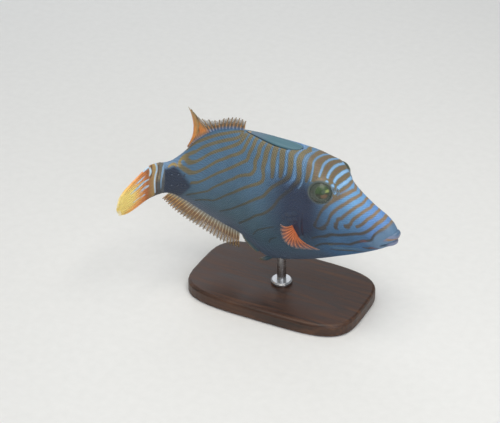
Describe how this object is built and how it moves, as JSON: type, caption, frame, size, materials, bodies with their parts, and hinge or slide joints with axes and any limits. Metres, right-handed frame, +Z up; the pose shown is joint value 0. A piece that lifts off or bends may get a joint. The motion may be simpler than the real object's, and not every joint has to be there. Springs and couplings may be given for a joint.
{
  "type": "orange-lined triggerfish",
  "caption": "Still life-size model of an orange-lined triggerfish swimming with its tail swung aside, on a plain display stand.",
  "frame": {"origin": "centre of the underside of the stand's base, on the surface that it stands on", "axes": "+X towards the fish's snout, +Y to the fish's left, +Z up"},
  "size_m": [0.1931, 0.1078, 0.1459],
  "materials": {
    "skin": "blue scaly skin with orange-brown lines, satin lacquer",
    "tail_stalk_skin": "blue-black blotch, satin lacquer",
    "lips": "soft mauve-grey skin",
    "eye": "glossy clear-coated eye",
    "fin": "orange rays in thin skin, satin lacquer",
    "folded_fin": "grey-green folded skin and spines",
    "belly_flap": "dark blue-grey skin and rough spine",
    "stand_base": "dark stained wood, satin",
    "stand_rod": "brushed"
  },
  "bodies": {
    "root": {"head": "skin", "trunk": "skin", "peduncle": "tail_stalk_skin", "upper_lip": "lips", "lower_lip": "lips", "eye_left": "eye", "eye_right": "eye", "caudal_fin": "fin", "soft_dorsal_fin": "fin", "anal_fin": "fin", "pectoral_fin_left": "fin", "pectoral_fin_right": "fin", "first_dorsal_fin": "folded_fin", "pelvic_spine": "belly_flap", "ventral_flap": "belly_flap", "stand_base": "stand_base", "stand_rod": "stand_rod"}
  },
  "joints": []
}
